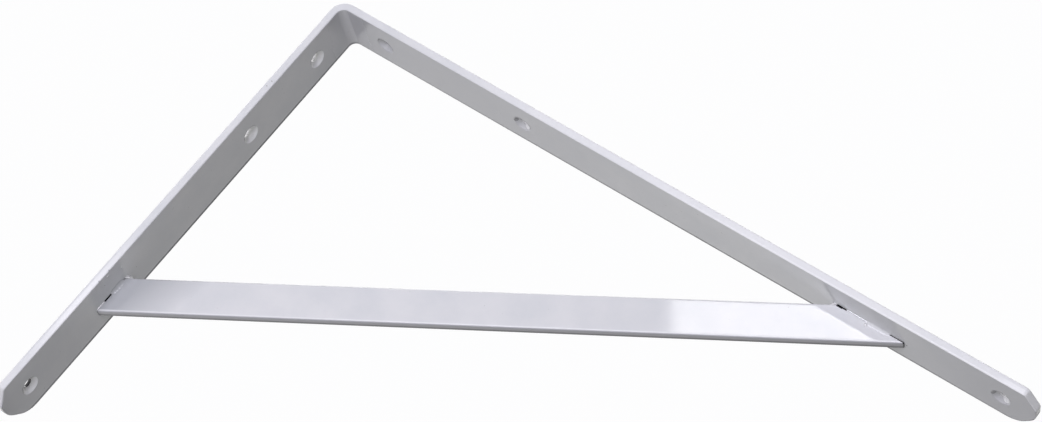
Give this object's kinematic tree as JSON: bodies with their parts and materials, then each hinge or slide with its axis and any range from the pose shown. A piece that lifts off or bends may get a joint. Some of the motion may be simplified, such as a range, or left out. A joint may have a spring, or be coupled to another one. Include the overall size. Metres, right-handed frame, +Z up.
{
  "type": "steel shelf bracket",
  "caption": "Welded flat-bar shelf bracket: a bar bent into an L with countersunk screw holes, braced by a narrower mitred bar, painted white.",
  "frame": {"origin": "the corner where the wall plane and the shelf plane cross, at the middle of the bar's width, just outside the rounded bend", "axes": "+X out from the wall under the shelf, +Z up, and -Y the front, where the brace shows its broad face"},
  "size_m": [0.391, 0.03, 0.256],
  "materials": {
    "white_enamel": "gloss",
    "painted_weld": "gloss"
  },
  "bodies": {
    "root": {"angle_strap": "white_enamel", "brace_bar": "white_enamel", "foot_top_weld": "painted_weld", "foot_front_weld": "painted_weld", "foot_back_weld": "painted_weld", "head_top_weld": "painted_weld", "head_front_weld": "painted_weld", "head_back_weld": "painted_weld"}
  },
  "joints": []
}
